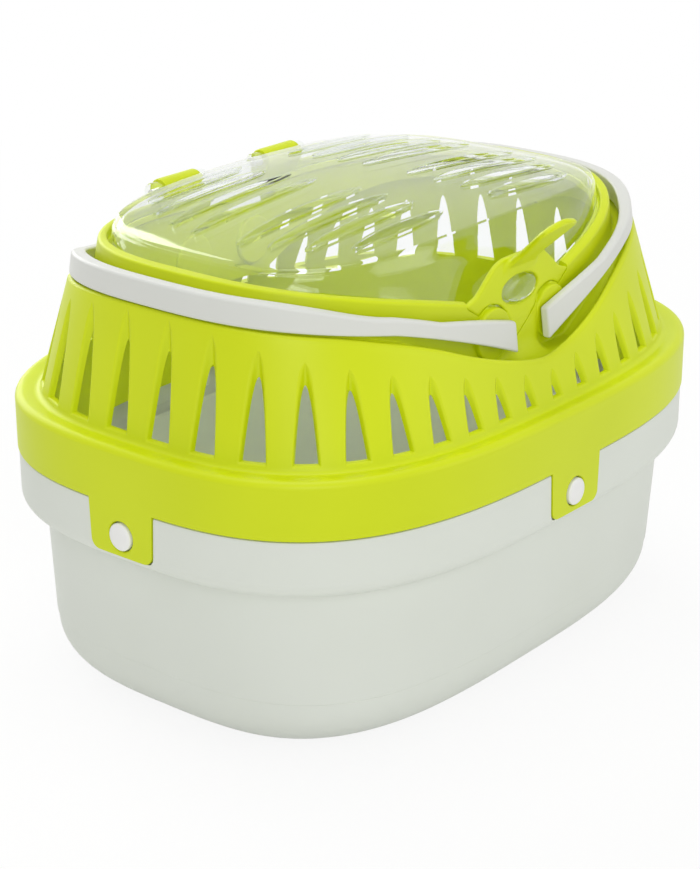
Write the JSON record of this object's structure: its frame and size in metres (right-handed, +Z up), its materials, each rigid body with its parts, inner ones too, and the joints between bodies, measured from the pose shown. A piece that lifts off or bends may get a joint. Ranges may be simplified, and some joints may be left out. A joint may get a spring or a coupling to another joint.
{
  "type": "plastic pet carrier",
  "caption": "Small pet carrier: tub, slotted cover with a sprung latch, clear vented lid hinged at the back and two folding carrying handles.",
  "frame": {"origin": "on the floor, under the middle of the tub", "axes": "+Z up, +X along the carrier, -Y towards the side with the latch, +Y towards the lid's hinge"},
  "size_m": [0.3024, 0.227, 0.2053],
  "materials": {
    "tub_plastic": "satin moulded polypropylene, warm light grey",
    "cover_plastic": "satin moulded polypropylene, lime green",
    "handle_plastic": "satin moulded polypropylene, pale grey",
    "stud_plastic": "smooth moulded polypropylene, white",
    "clear_plastic": "clear moulded polystyrene"
  },
  "bodies": {
    "base": {"base_tub": "tub_plastic", "tab_stud_left": "stud_plastic", "tab_stud_right": "stud_plastic", "tab_stud_front": "stud_plastic", "tab_stud_back": "stud_plastic"},
    "cover": {"grille_cover": "cover_plastic", "pivot_pin_front_left": "stud_plastic", "pivot_pin_front_right": "stud_plastic", "pivot_pin_back_left": "stud_plastic", "pivot_pin_back_right": "stud_plastic", "lid_pin_left": "stud_plastic", "lid_pin_right": "stud_plastic"},
    "latch": {"latch_tongue": "cover_plastic"},
    "lid": {"lid": "clear_plastic"},
    "handle_left": {"handle_left": "handle_plastic"},
    "handle_right": {"handle_right": "handle_plastic"}
  },
  "joints": [
    {"name": "cover_lift", "type": "slide", "parent": "base", "child": "cover", "axis": [0, 0, 1], "range_m": [0, 0.12]},
    {"name": "lid_hinge", "type": "hinge", "parent": "cover", "child": "lid", "pos_m": [0, 0.0758, 0.1915], "axis": [1, 0, 0], "range_deg": [-100, 0]},
    {"name": "handle_left_pivot", "type": "hinge", "parent": "cover", "child": "handle_left", "pos_m": [-0.02, 0, 0.155], "axis": [0, 1, 0], "range_deg": [0, 78]},
    {"name": "handle_right_pivot", "type": "hinge", "parent": "cover", "child": "handle_right", "pos_m": [0.02, 0, 0.155], "axis": [0, -1, 0], "range_deg": [0, 78]},
    {"name": "latch_flex", "type": "hinge", "parent": "cover", "child": "latch", "pos_m": [0, -0.08148, 0.1502], "axis": [-1, 0, 0], "range_deg": [-6, 0], "stiffness_Nm_per_rad": 1}
  ]
}
